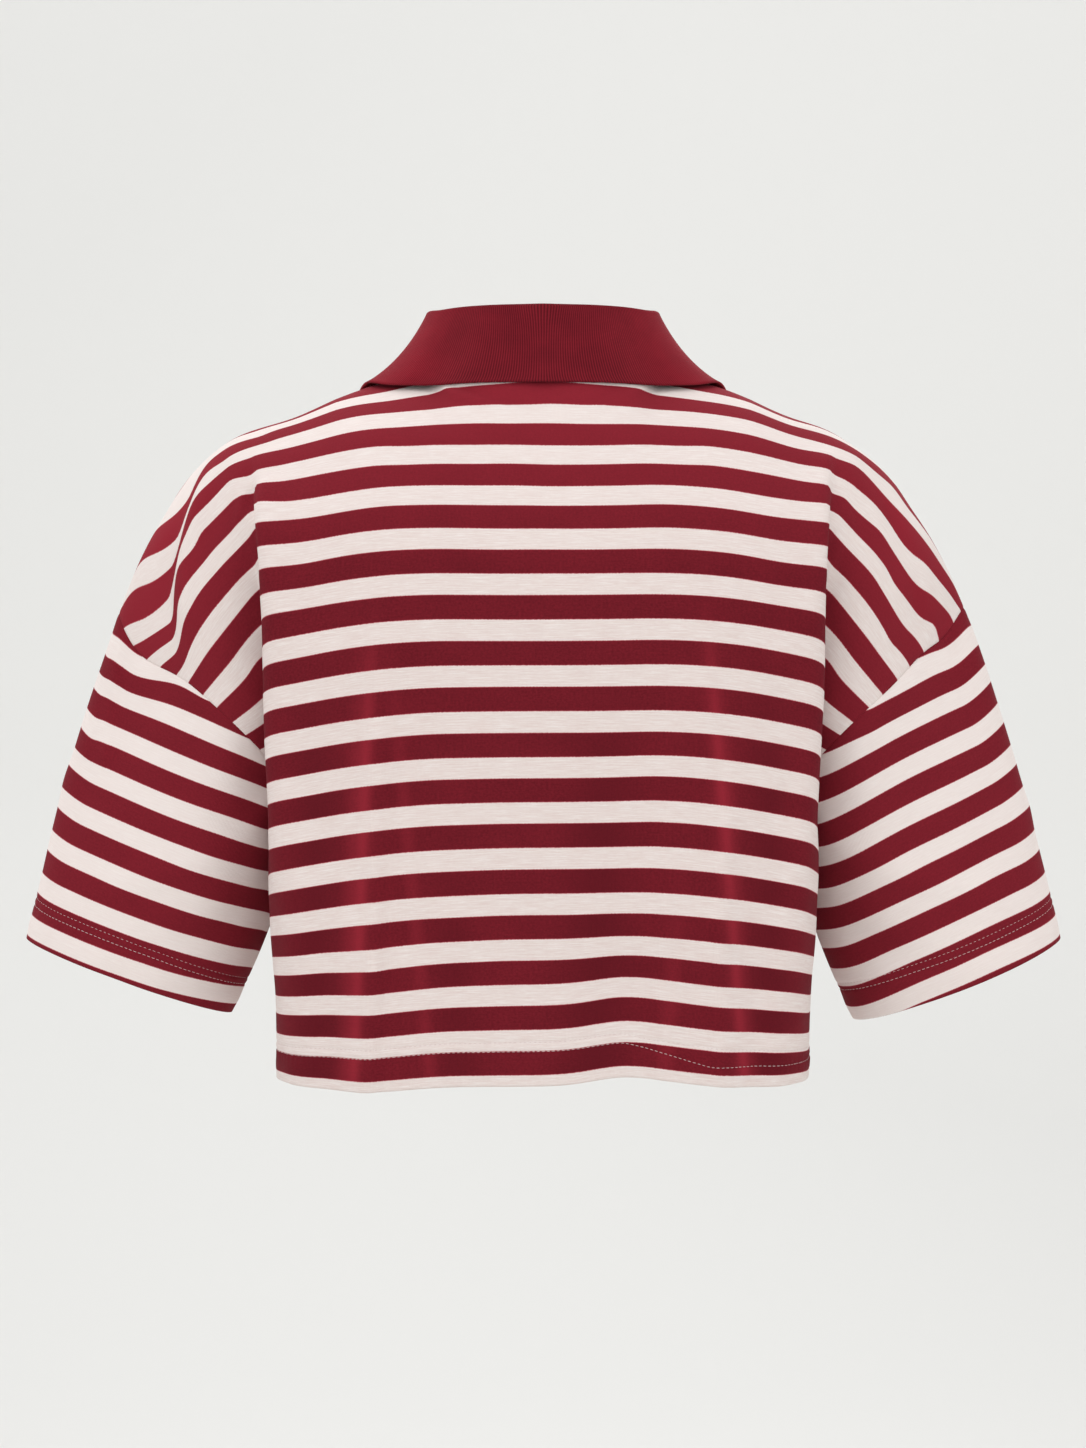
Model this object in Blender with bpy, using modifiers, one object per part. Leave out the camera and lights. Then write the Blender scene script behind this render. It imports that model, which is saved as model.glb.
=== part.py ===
# Boxy cropped top with wide stripes, extended shoulders, elbow-length sleeves and a rib knit collar,
# filled out as it is when worn. Metres, +Z up. The wearer faces -Y, and +X is the wearer's left.
# The origin is the middle of the neck at the height where the collar meets the shoulders.
#
# Every panel is a sheet laid out on its own flat cut and carried on to the worn form:
#   level   height on the cloth above the bottom hem
#   across  0 at the middle of a panel, 1 at the body's side edge, 2 at the side seam or the armhole

import math

import bmesh
import bpy
import numpy as np

wall = 0.0012
collarWall = 0.0016
seamGap = 0.0003
widestGap = 0.0022     # where two pieces meet at a sharp turn, such as under the arm
collarGap = 0.0012     # from the neck seam to the start of the collar's wall
underarmEase = dict(push=(0.0016, 0.0, -0.0012), reach=0.045)   # clears the sleeve of the side seam

# The flat cut of a panel: levels above the hem, and reaches out from its middle.
underarmLevel = 0.221
seamTopLevel = 0.447       # where the shoulder seam ends at the top of the sleeve
neckSideLevel = 0.508
shoulderSlope = 0.024
shoulderCurve = 0.037      # the further fall of the shoulder seam over the arm
neckLevel = dict(back=0.474, front=0.380)
neckHalf = 0.078
neckBlend = dict(start=0.020, end=0.145, power=1.2)     # outward, the cloth turns more over the shoulder
edgeReach = 0.200
shoulderReach = 0.365

capLevel = 0.425           # the shoulder's cap starts at this level, or this far below the top
capDepth = 0.050
kneeX = 0.105
step = 0.006
nearby = 0.02              # a short way across
nearSeam = 0.1

neckColumns = 8
bodyColumns = 6
armColumns = 11
crowding = dict(body=1.3, arm=1.2)   # how strongly columns gather at the body's side edge
rowsBelowArm = 8
rowsAboveArm = 17
sleeveRows = 10

# One row for each level of the back: where its section passes the middle, the knee of the back, the side
# edge, the tuck under the arm, the arm, and the side seam or armhole. back and knee are (y, z).
sections = [
    dict(level=0.000, back=(0.100, -0.4690), knee=(0.096, -0.4700), edge=(0.1600, 0.077, -0.4715),
         tuck=(0.1765, 0.052, -0.4700), arm=(0.1805, 0.022, -0.4695), seam=(0.1795, -0.004, -0.4690)),
    dict(level=0.060, back=(0.102, -0.4090), knee=(0.098, -0.4115), edge=(0.1625, 0.080, -0.4182),
         tuck=(0.1785, 0.053, -0.4195), arm=(0.1815, 0.022, -0.4200), seam=(0.1795, -0.004, -0.4195)),
    dict(level=0.120, back=(0.106, -0.3490), knee=(0.102, -0.3520), edge=(0.1700, 0.083, -0.3642),
         tuck=(0.1835, 0.053, -0.3670), arm=(0.1830, 0.022, -0.3700), seam=(0.1790, -0.004, -0.3705)),
    dict(level=0.180, back=(0.110, -0.2890), knee=(0.104, -0.2910), edge=(0.1810, 0.082, -0.3064),
         tuck=(0.1850, 0.048, -0.3115), arm=(0.1785, 0.018, -0.3180), seam=(0.1700, -0.004, -0.3195)),
    dict(level=0.221, back=(0.1125, -0.2490), knee=(0.106, -0.2495), edge=(0.1868, 0.080, -0.2662),
         tuck=(0.178, 0.036, -0.2740), arm=(0.169, 0.012, -0.2795), seam=(0.165, -0.005, -0.2810)),
    dict(level=0.260, back=(0.115, -0.2100), knee=(0.108, -0.2100), edge=(0.1890, 0.082, -0.2266),
         tuck=(0.171, 0.018, -0.2440), arm=(0.173, 0.022, -0.2520), seam=(0.182, 0.028, -0.2590)),
    dict(level=0.300, back=(0.116, -0.1704), knee=(0.109, -0.1696), edge=(0.1905, 0.084, -0.1858),
         tuck=(0.172, 0.032, -0.2060), arm=(0.186, 0.044, -0.2220), seam=(0.204, 0.045, -0.2345)),
    dict(level=0.340, back=(0.112, -0.1303), knee=(0.106, -0.1295), edge=(0.1915, 0.085, -0.1420),
         tuck=(0.178, 0.050, -0.1530), arm=(0.209, 0.050, -0.1840), seam=(0.231, 0.037, -0.2100)),
    dict(level=0.380, back=(0.1015, -0.0912), knee=(0.098, -0.0895), edge=(0.1925, 0.080, -0.1010),
         tuck=(0.189, 0.064, -0.1040), arm=(0.229, 0.048, -0.1430), seam=(0.258, 0.018, -0.1870)),
    dict(level=0.425, back=(0.083, -0.0490), knee=(0.078, -0.0480), edge=(0.1880, 0.055, -0.0640),
         tuck=(0.203, 0.050, -0.0690), arm=(0.244, 0.036, -0.1110), seam=(0.289, -0.003, -0.1630)),
]
# The middle of the front at each level.
chest = [
    dict(level=0.000, front=(-0.096, -0.469)),
    dict(level=0.120, front=(-0.104, -0.349)),
    dict(level=0.221, front=(-0.110, -0.2485)),
    dict(level=0.300, front=(-0.107, -0.170)),
    dict(level=0.380, front=(-0.096, -0.092)),
    dict(level=0.425, front=(-0.086, -0.048)),
]
frontDepth = 0.92        # the front is this much shallower than the back
frontShift = -0.008
frontKnee = (0.30, 0.25)  # how far the front has turned away and drooped at the knee
turnRadius = dict(back=0.050, knee=0.055, edge=0.018, tuck=0.016, arm=0.030)

# Seam lines, from the neck out and from the middle out.
shoulderLine = [(0.080, -0.006, 0.012), (0.1245, -0.004, -0.002), (0.1665, -0.003, -0.0205),
                (0.213, -0.002, -0.0370), (0.2387, -0.002, -0.0590), (0.260, -0.004, -0.0900),
                (0.278, -0.008, -0.1235), (0.2895, -0.012, -0.1500)]
backNeck = [(0.0, 0.061, -0.0020), (0.035, 0.057, -0.0015), (0.066, 0.035, 0.004), (0.080, -0.006, 0.012)]
frontNeck = [(0.0, -0.097, -0.092), (0.026, -0.088, -0.064), (0.058, -0.060, -0.020), (0.080, -0.006, 0.012)]

# One row for each large fold: the line it runs along, how far it moves the cloth, which way its slow side
# lies, and how quickly it fades on the steep side, on the slow side and past its ends.
folds = [
    dict(start=(0.289, -0.004, -0.172), end=(0.272, 0.008, -0.182), push=(0.003, 0.000, -0.008),
         side=(0, 1, 0), steep=0.030, slow=0.030, fade=0.030),
    dict(start=(-0.280, 0.005, -0.160), end=(-0.264, 0.015, -0.176), push=(0.002, 0.000, 0.005),
         side=(0, 1, 0), steep=0.030, slow=0.030, fade=0.026),
    dict(start=(-0.215, 0.000, -0.040), end=(-0.246, 0.000, -0.068), push=(0.000, 0.000, -0.005),
         side=(0, 1, 0), steep=0.035, slow=0.035, fade=0.020),
    dict(start=(0.236, 0.030, -0.080), end=(0.238, 0.040, -0.150), push=(0.000, 0.004, 0.000),
         side=(-1, 0, 0), steep=0.012, slow=0.020, fade=0.035),
    dict(start=(-0.250, 0.030, -0.095), end=(-0.262, 0.020, -0.150), push=(0.000, 0.004, -0.005),
         side=(-1, 0, 0), steep=0.012, slow=0.020, fade=0.030),
    dict(start=(0.100, 0.105, -0.200), end=(0.122, 0.094, -0.469), push=(0.000, 0.004, 0.000),
         side=(1, 0, 0), steep=0.010, slow=0.028, fade=0.050),
    dict(start=(-0.106, 0.105, -0.230), end=(-0.126, 0.095, -0.469), push=(0.000, 0.004, 0.000),
         side=(1, 0, 0), steep=0.010, slow=0.026, fade=0.050),
    dict(start=(0.110, 0.100, -0.400), end=(0.115, 0.093, -0.469), push=(0.000, 0.002, -0.003),
         side=(1, 0, 0), steep=0.035, slow=0.035, fade=0.030),
    dict(start=(-0.055, 0.104, -0.420), end=(-0.055, 0.100, -0.469), push=(0.000, -0.004, 0.006),
         side=(-1, 0, 0), steep=0.030, slow=0.040, fade=0.040),
    dict(start=(-0.262, -0.020, -0.100), end=(-0.260, -0.030, -0.150), push=(-0.002, 0.000, -0.009),
         side=(-1, 0, 0), steep=0.018, slow=0.040, fade=0.035),
    dict(start=(0.240, -0.050, -0.085), end=(0.250, -0.040, -0.135), push=(0.000, -0.004, -0.004),
         side=(1, 0, 0), steep=0.014, slow=0.022, fade=0.030),
    dict(start=(-0.092, -0.100, -0.220), end=(-0.100, -0.095, -0.469), push=(0.000, -0.005, 0.000),
         side=(-1, 0, 0), steep=0.012, slow=0.030, fade=0.050),
    dict(start=(0.104, -0.100, -0.250), end=(0.122, -0.090, -0.469), push=(0.000, -0.004, 0.000),
         side=(-1, 0, 0), steep=0.012, slow=0.026, fade=0.050),
    dict(start=(0.040, -0.105, -0.410), end=(0.045, -0.098, -0.469), push=(0.000, 0.004, 0.005),
         side=(1, 0, 0), steep=0.032, slow=0.040, fade=0.035),
]

# The sleeve hems: the middle of each opening, its half-width vector, how deep it is and how it tips.
sleeves = dict(
    left=dict(sign=1, middle=(0.2880, -0.045, -0.4053), half=(0.0710, 0.0, 0.0258), depth=0.050, tip=0.03),
    right=dict(sign=-1, middle=(0.2880, -0.045, -0.4073), half=(0.0720, 0.0, 0.0282), depth=0.050, tip=0.10),
)

# One row for each place round the neck, from the V point at 0 to the middle of the back at 1: the top of
# the stand, the sag of the fall, and the outer edge. An edge is given in space, or by its place on the
# front's flat cut where the fall lies on the chest.
collarRows = [
    dict(at=0.00, stand=(0.0045, -0.1030, -0.0880), sag=0.000, flat=(0.060, 0.338)),
    dict(at=0.22, stand=(0.0340, -0.0950, -0.0500), sag=0.000, flat=(0.096, 0.385)),
    dict(at=0.42, stand=(0.0640, -0.0640, 0.0050), sag=0.001, flat=(0.124, 0.440)),
    dict(at=0.52, stand=(0.0735, -0.0380, 0.0315), sag=0.003, flat=(0.130, 0.475)),
    dict(at=0.62, stand=(0.0755, -0.0080, 0.0460), sag=0.004, flat=(0.123, 0.500)),
    dict(at=0.78, stand=(0.0655, 0.0270, 0.0480), sag=0.003, edge=(0.0990, 0.0275, -0.0012)),
    dict(at=0.84, stand=(0.0520, 0.0395, 0.0487), sag=0.002, edge=(0.0785, 0.0395, -0.0018)),
    dict(at=0.90, stand=(0.0350, 0.0490, 0.0485), sag=0.000, edge=(0.0490, 0.0580, -0.0025)),
    dict(at=1.00, stand=(0.0000, 0.0535, 0.0490), sag=0.000, edge=(0.0000, 0.0680, -0.0028)),
]
neckCorner = 0.62        # where the side of the neck lies between the V point and the middle of the back
foldWidth = 0.005
rollHeight = 0.0008
nearRoll = 0.07
collarLift = 0.0036      # of the outer edge, from the middle of the front's wall

colours = dict(cloth=(0.56, 0.30, 0.32), rib=(0.24, 0.025, 0.045))


def through(knots, values, x):
    """A smooth line through values given at knots, read at x."""
    knots = np.asarray(knots, float)
    values = np.asarray(values, float)
    slopes = np.gradient(values, knots, axis=0)
    i = np.clip(np.searchsorted(knots, x) - 1, 0, len(knots) - 2)
    gap = (knots[i + 1] - knots[i])[..., None]
    t = (np.asarray(x)[..., None] - knots[i][..., None]) / gap
    return hermite(t, values[i], gap * slopes[i], values[i + 1], gap * slopes[i + 1])


def hermite(t, start, startSlope, end, endSlope):
    return ((1 + 2 * t) * (1 - t) ** 2 * start + t * (1 - t) ** 2 * startSlope
            + t * t * (3 - 2 * t) * end + t * t * (t - 1) * endSlope)


def along(points, t):
    """A smooth line through points in space, from t = 0 to t = 1 by length."""
    points = np.asarray(points, float)
    reach = np.concatenate([[0], np.cumsum(np.linalg.norm(np.diff(points, axis=0), axis=1))])
    return through(reach / reach[-1], points, t)


def lengths(vectors):
    return np.linalg.norm(vectors, axis=-1)


def between(start, end, share):
    return start + (end - start) * share


def onFrontSide(points):
    return points * [1, -frontDepth, 1] + [0, frontShift, 0]


def stations(side, level):
    """The six points that a section of the back (side 1) or the front (side -1) passes."""
    levels = [row["level"] for row in sections]
    found = {}
    for name in ("edge", "tuck", "arm", "seam"):
        found[name] = through(levels, [row[name] for row in sections], level)
    if side > 0:
        middle = through(levels, [(0, *row["back"]) for row in sections], level)
        knee = through(levels, [(kneeX, *row["knee"]) for row in sections], level)
        return [middle, knee, found["edge"], found["tuck"], found["arm"], found["seam"]]
    middle = through([row["level"] for row in chest], [(0, *row["front"]) for row in chest], level)
    edge = onFrontSide(found["edge"])
    knee = middle + (edge - middle) * [kneeX / edgeReach, *frontKnee]
    seam = found["seam"].copy()
    # above the underarm the armhole opens into a front and a back edge, below it they are one seam
    seamAtUnderarm = next(row["seam"][1] for row in sections if row["level"] == underarmLevel)
    opened = seam[..., 1] - seamAtUnderarm
    seam[..., 1] = np.where(level > underarmLevel, seamAtUnderarm - frontDepth * opened, seam[..., 1])
    return [middle, knee, edge, onFrontSide(found["tuck"]), onFrontSide(found["arm"]), seam]


def section(side, across, level):
    """A point on a section, with its corners rounded."""
    corners = stations(side, level)
    legs = [b - a for a, b in zip(corners, corners[1:])]
    legLengths = [lengths(leg) for leg in legs]
    ways = [leg / size[..., None] for leg, size in zip(legs, legLengths)]
    starts = np.cumsum([np.zeros_like(legLengths[0])] + legLengths, axis=0)
    reach = np.where(across <= 1, across * starts[2], starts[2] + (across - 1) * (starts[5] - starts[2]))
    points = corners[0] + ways[0] * reach[..., None]
    for k in range(1, 5):
        past = reach >= starts[k]
        points[past] = (corners[k] + ways[k] * (reach - starts[k])[..., None])[past]
    for k, name in enumerate(turnRadius):
        before = ways[k - 1] if k else ways[0] * [1, -1, -1]
        room = np.minimum(legLengths[k - 1], legLengths[k]) if k else legLengths[0]
        turn = np.minimum(turnRadius[name], 0.49 * room)
        t = (reach - starts[k] + turn) / (2 * turn)
        rounded = corners[k] + (turn * t * t)[..., None] * ways[k] - (turn * (1 - t) ** 2)[..., None] * before
        inTurn = (t > 0) & (t < 1)
        points[inTurn] = rounded[inTurn]
    return points


def flatReach(across):
    """How far along the top of the flat cut a column ends."""
    return np.where(across <= 1, across * edgeReach, edgeReach + (across - 1) * (shoulderReach - edgeReach))


def topLevel(side, across):
    reach = flatReach(across)
    out = np.clip((reach - neckHalf) / (shoulderReach - neckHalf), 0, 1)
    shoulder = neckSideLevel - shoulderSlope * out - shoulderCurve * out ** 4
    near = np.clip(reach / neckHalf, 0, 1)
    middle = neckLevel["back" if side > 0 else "front"]
    neck = middle + (neckSideLevel - middle) * (near ** 2.2 if side > 0 else near)
    return np.where(reach < neckHalf, neck, shoulder)


def topPoint(side, across):
    reach = flatReach(across)
    shoulder = along(shoulderLine, np.clip((reach - neckHalf) / (shoulderReach - neckHalf), 0, 1))
    neck = along(backNeck if side > 0 else frontNeck, np.clip(reach / neckHalf, 0, 1))
    return np.where((reach < neckHalf)[..., None], neck, shoulder)


def panelPoint(side, across, level):
    """The worn place of a point of the back (side 1) or the front (side -1)."""
    across, level = np.broadcast_arrays(np.asarray(across, float), np.asarray(level, float))
    top = topLevel(side, across)
    cap = np.minimum(capLevel, top - capDepth)
    below = section(side, across, np.minimum(level, cap))
    start = section(side, across, cap)
    rise = (start - section(side, across, cap - step)) / step
    end = topPoint(side, across)
    span = (top - cap)[..., None]
    overShoulder = section(-side, across, cap) - start
    overShoulder /= lengths(overShoulder)[..., None]
    blend = (flatReach(across) - neckBlend["start"]) / (neckBlend["end"] - neckBlend["start"])
    share = np.clip(blend, 0, 1)[..., None] ** neckBlend["power"]
    arrival = (end - start) / span * (1 - share) + overShoulder * share
    t = np.clip((level - cap)[..., None] / span, 0, 1)
    above = hermite(t, start, span * rise, end, span * arrival)
    return np.where((level > cap)[..., None], above, below)


def folded(points):
    """Moves points by the large folds."""
    moved = points.copy()
    for fold in folds:
        start = np.array(fold["start"])
        run = np.array(fold["end"]) - start
        t = np.clip((points - start) @ run / (run @ run), 0, 1)
        away = points - start - t[..., None] * run
        sideways = away @ np.array(fold["side"], float)
        rest = np.sqrt(np.maximum(lengths(away) ** 2 - sideways ** 2, 0))
        width = np.where(sideways < 0, fold["steep"], fold["slow"])
        amount = np.exp(-(sideways / width) ** 2 - (rest / fold["fade"]) ** 2)
        moved += amount[..., None] * np.array(fold["push"])
    return moved


def seamEdge(edge, inner, neighbour):
    """Moves an edge in from its seam, and further where the next piece leaves it at a sharp turn."""
    way = (inner - edge) / lengths(inner - edge)[..., None]
    other = (neighbour - edge) / lengths(neighbour - edge)[..., None]
    straight = np.clip(-(way * other).sum(axis=-1), -0.95, 0.995)
    opening = np.sqrt((1 - straight) / (1 + straight))
    gap = np.minimum(seamGap / 2 + wall / 2 * opening, widestGap)
    return edge + way * gap[..., None]


def clothObject(name, points, thickness, material, collection, tube=False):
    """A sheet from a grid of points, given its wall. A tube's first and last columns are one line."""
    rows, columns = points.shape[:2]
    mesh = bmesh.new()
    bmesh.ops.create_grid(mesh, x_segments=columns - 1, y_segments=rows - 1, size=0.5)
    for vert in mesh.verts:
        column = round((vert.co.x + 0.5) * (columns - 1))
        row = round((vert.co.y + 0.5) * (rows - 1))
        vert.co = points[row, column]
    if tube:
        bmesh.ops.remove_doubles(mesh, verts=mesh.verts, dist=1e-6)
    data = bpy.data.meshes.new(name)
    mesh.to_mesh(data)
    mesh.free()
    data.shade_smooth()
    data.materials.append(material)
    cloth = bpy.data.objects.new(name, data)
    collection.objects.link(cloth)
    skin = cloth.modifiers.new("wall", "SOLIDIFY")
    skin.thickness = thickness
    skin.offset = 0
    return cloth


def armholeLevels():
    return underarmLevel + np.linspace(0, 1, rowsAboveArm + 1) * (seamTopLevel - underarmLevel)


def sleeveHem(side, sleeve, level):
    """The point of a sleeve's hem that hangs from a level of the armhole."""
    angle = math.pi * (seamTopLevel - level) / (seamTopLevel - underarmLevel)
    depth = side * sleeve["depth"] * np.array([0, math.cos(sleeve["tip"]), -math.sin(sleeve["tip"])])
    return (np.array(sleeve["middle"]) + np.cos(angle)[:, None] * np.array(sleeve["half"])
            + np.sin(angle)[:, None] * depth)


def panelGrid(side):
    """Points of a whole panel, its rows from the hem up and its columns from side to side."""
    neckEnd = neckHalf / edgeReach
    toNeck = np.linspace(0, neckEnd, neckColumns + 1)
    toEdge = 1 - (1 - neckEnd) * np.linspace(1, 0, bodyColumns + 1) ** crowding["body"]
    toArm = 1 + np.linspace(0, 1, armColumns + 1) ** crowding["arm"]
    columns = np.concatenate([toNeck, toEdge[1:], toArm[1:]])
    low = np.linspace(0, 1, rowsBelowArm + 1)[:-1, None] * underarmLevel
    high = np.linspace(0, 1, rowsAboveArm + 1)[:, None]
    top = topLevel(side, columns)
    rows = np.concatenate([low + 0 * columns, underarmLevel + high * (top - underarmLevel)])
    points = panelPoint(side, columns[None, :], rows)
    aboveNeck = 2 * points[-1] - points[-2] + [0, 0, step]
    overTop = np.where((columns < neckEnd)[:, None], aboveNeck, panelPoint(-side, columns, top - step))
    nextSide = panelPoint(-side, 2 - nearSeam / 2, rows[:, -1])
    nextSleeve = sleeveHem(side, sleeves["left"], armholeLevels())
    atSide = seamEdge(points[:, -1], points[:, -2], nextSide)
    atArmhole = seamEdge(points[rowsBelowArm:, -1], points[rowsBelowArm:, -2], nextSleeve)
    points[-1] = seamEdge(points[-1], points[-2], overTop)
    topCorner = points[-1, -1] - panelPoint(side, 2.0, seamTopLevel)
    points[:, -1] = np.concatenate([atSide[:rowsBelowArm], atArmhole])
    points[-1, -1] += topCorner
    other = points[:, :0:-1] * [-1, 1, 1]
    whole = np.concatenate([other, points], axis=1)
    return folded(whole if side < 0 else whole[:, ::-1])


def sleeveGrid(sleeve):
    """Rings of a sleeve from the hem to the armhole, starting and ending at the underarm."""
    rise = np.linspace(0, 1, sleeveRows + 1)[:, None, None]
    halves = []
    for side in (-1, 1):
        levels = armholeLevels()
        armhole = panelPoint(side, 2.0, levels)
        hem = sleeveHem(side, sleeve, levels)
        armhole = seamEdge(armhole, hem, panelPoint(side, 2 - nearSeam, levels))
        nearUnderarm = np.clip(1 - (levels - underarmLevel) / underarmEase["reach"], 0, 1) ** 2
        armhole += nearUnderarm[:, None] * np.array(underarmEase["push"])
        halves.append(hem + (armhole - hem) * rise)
    front, back = halves
    underarm = (front[:, :1] + back[:, :1]) / 2
    shoulder = (front[:, -1:] + back[:, -1:]) / 2
    points = np.concatenate([underarm, front[:, 1:-1], shoulder, back[:, -2:0:-1], underarm], axis=1)
    points = points * [sleeve["sign"], 1, 1]
    return folded(points if sleeve["sign"] > 0 else points[:, ::-1])


def outward(side, across, level):
    """The way out of the cloth at a point of a panel."""
    here = panelPoint(side, across, level)
    upward = here - panelPoint(side, across, level - step)
    sideways = panelPoint(side, across + nearby, level) - here
    normal = np.cross(upward, sideways) * side
    return normal / lengths(normal)[..., None]


def onFront(flat, lift):
    """A place on the chest from its place on the flat cut, moved out."""
    across = np.array([flat[0] / edgeReach])
    level = np.array([flat[1]])
    return (panelPoint(-1, across, level) + lift * outward(-1, across, level))[0]


def collarGrid():
    """Columns round the neck from the right V point to the left one, rows from the seam to the edge."""
    spots = [row["at"] for row in collarRows]
    stands = [row["stand"] for row in collarRows]
    edges = [row.get("edge") or tuple(onFront(row["flat"], collarLift)) for row in collarRows]
    sags = [(row["sag"],) for row in collarRows]
    share = np.linspace(0, 1, neckColumns + 1)
    at = np.concatenate([neckCorner * share, 1 - (1 - neckCorner) * share[-2::-1]])
    front = along(frontNeck, np.clip(at / neckCorner, 0, 1))
    back = along(backNeck, np.clip((1 - at) / (1 - neckCorner), 0, 1))
    seam = np.where((at < neckCorner)[:, None], front, back)
    stand = through(spots, stands, at)
    edge = through(spots, edges, at)
    away = (edge - seam) * [1, 1, 0]
    away /= lengths(away)[:, None]
    seam += (stand - seam) / lengths(stand - seam)[:, None] * collarGap
    seam[0, 0] = stand[0, 0]
    turned = stand + away * foldWidth
    middle = (turned + edge) / 2 - np.array([0, 0, 1]) * through(spots, sags, at)
    rolled = np.array([0, 0, rollHeight])
    points = np.array([
        seam, between(seam, stand, 0.5), between(stand, seam, nearRoll), stand + rolled,
        turned + rolled, between(turned, middle, nearRoll), between(turned, middle, 0.5), middle,
        between(middle, edge, 0.5), edge])
    other = points[:, ::-1] * [-1, 1, 1]
    whole = np.concatenate([points, other[:, 1:]], axis=1)
    return folded(whole)


def finish(name, colour, roughness):
    material = bpy.data.materials.new(name)
    material.use_nodes = True
    shader = material.node_tree.nodes["Principled BSDF"]
    shader.inputs["Base Color"].default_value = (*colour, 1)
    shader.inputs["Roughness"].default_value = roughness
    shader.inputs["Metallic"].default_value = 0
    return material


def main():
    for item in list(bpy.data.objects):
        bpy.data.objects.remove(item)
    top = bpy.data.collections.new("crop_top")
    bpy.context.scene.collection.children.link(top)
    cloth = finish("striped_jersey", colours["cloth"], 0.9)
    rib = finish("rib_knit", colours["rib"], 0.85)
    clothObject("back", panelGrid(1), wall, cloth, top)
    clothObject("front", panelGrid(-1), wall, cloth, top)
    for name, sleeve in sleeves.items():
        clothObject("sleeve_" + name, sleeveGrid(sleeve), wall, cloth, top, tube=True)
    clothObject("collar", collarGrid(), collarWall, rib, top)


main()
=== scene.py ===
import math

import bmesh
import bpy
import numpy as np
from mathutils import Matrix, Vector


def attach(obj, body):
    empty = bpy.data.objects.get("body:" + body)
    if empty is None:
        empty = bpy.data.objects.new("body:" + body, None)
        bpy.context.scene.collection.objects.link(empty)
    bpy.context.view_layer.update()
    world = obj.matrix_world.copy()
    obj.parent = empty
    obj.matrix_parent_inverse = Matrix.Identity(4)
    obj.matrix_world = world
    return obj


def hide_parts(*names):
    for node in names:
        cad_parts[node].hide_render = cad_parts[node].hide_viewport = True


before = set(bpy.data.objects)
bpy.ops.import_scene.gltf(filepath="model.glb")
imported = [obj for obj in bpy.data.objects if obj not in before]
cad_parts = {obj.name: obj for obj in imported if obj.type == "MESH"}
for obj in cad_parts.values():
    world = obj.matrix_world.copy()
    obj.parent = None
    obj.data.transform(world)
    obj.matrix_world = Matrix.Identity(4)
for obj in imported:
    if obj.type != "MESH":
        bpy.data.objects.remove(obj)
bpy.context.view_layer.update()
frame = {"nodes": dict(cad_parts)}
print("frame loaded:", ", ".join(frame["nodes"]))

# The cloth follows the same form as its solids. Metres, +Z up, the wearer faces -Y, +X is their left.
#   level   height on the cloth above the bottom hem
#   across  0 at the middle of a panel, 1 at the body's side edge, 2 at the side seam or the armhole
#   side    1 for the back, -1 for the front

cut = dict(underarm=0.221, seamTop=0.447, neckSide=0.508, slope=0.024, curve=0.037, backNeck=0.474,
           frontNeck=0.380, neckHalf=0.078, shoulderPower=4, neckPower=2.2, blendFrom=0.020,
           blendTo=0.145, blendPower=1.2, edgeReach=0.200, shoulderReach=0.365, cap=0.425, capDepth=0.050,
           kneeX=0.105, turnShare=0.49, step=0.006, nearby=0.02)

# where each level of the back passes the middle, the knee, the side edge, the tuck, the arm and the seam
stationNames = ("level", "back", "knee", "edge", "tuck", "arm", "seam")
sections = [dict(zip(stationNames, row)) for row in (
    (0.0, (0.1, -0.469), (0.096, -0.47), (0.16, 0.077, -0.4715),
     (0.1765, 0.052, -0.47), (0.1805, 0.022, -0.4695), (0.1795, -0.004, -0.469)),
    (0.06, (0.102, -0.409), (0.098, -0.4115), (0.1625, 0.08, -0.4182),
     (0.1785, 0.053, -0.4195), (0.1815, 0.022, -0.42), (0.1795, -0.004, -0.4195)),
    (0.12, (0.106, -0.349), (0.102, -0.352), (0.17, 0.083, -0.3642),
     (0.1835, 0.053, -0.367), (0.183, 0.022, -0.37), (0.179, -0.004, -0.3705)),
    (0.18, (0.11, -0.289), (0.104, -0.291), (0.181, 0.082, -0.3064),
     (0.185, 0.048, -0.3115), (0.1785, 0.018, -0.318), (0.17, -0.004, -0.3195)),
    (0.221, (0.1125, -0.249), (0.106, -0.2495), (0.1868, 0.08, -0.2662),
     (0.178, 0.036, -0.274), (0.169, 0.012, -0.2795), (0.165, -0.005, -0.281)),
    (0.26, (0.115, -0.21), (0.108, -0.21), (0.189, 0.082, -0.2266),
     (0.171, 0.018, -0.244), (0.173, 0.022, -0.252), (0.182, 0.028, -0.259)),
    (0.3, (0.116, -0.1704), (0.109, -0.1696), (0.1905, 0.084, -0.1858),
     (0.172, 0.032, -0.206), (0.186, 0.044, -0.222), (0.204, 0.045, -0.2345)),
    (0.34, (0.112, -0.1303), (0.106, -0.1295), (0.1915, 0.085, -0.142),
     (0.178, 0.05, -0.153), (0.209, 0.05, -0.184), (0.231, 0.037, -0.21)),
    (0.38, (0.1015, -0.0912), (0.098, -0.0895), (0.1925, 0.08, -0.101),
     (0.189, 0.064, -0.104), (0.229, 0.048, -0.143), (0.258, 0.018, -0.187)),
    (0.425, (0.083, -0.049), (0.078, -0.048), (0.188, 0.055, -0.064),
     (0.203, 0.05, -0.069), (0.244, 0.036, -0.111), (0.289, -0.003, -0.163)),
)]
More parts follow.
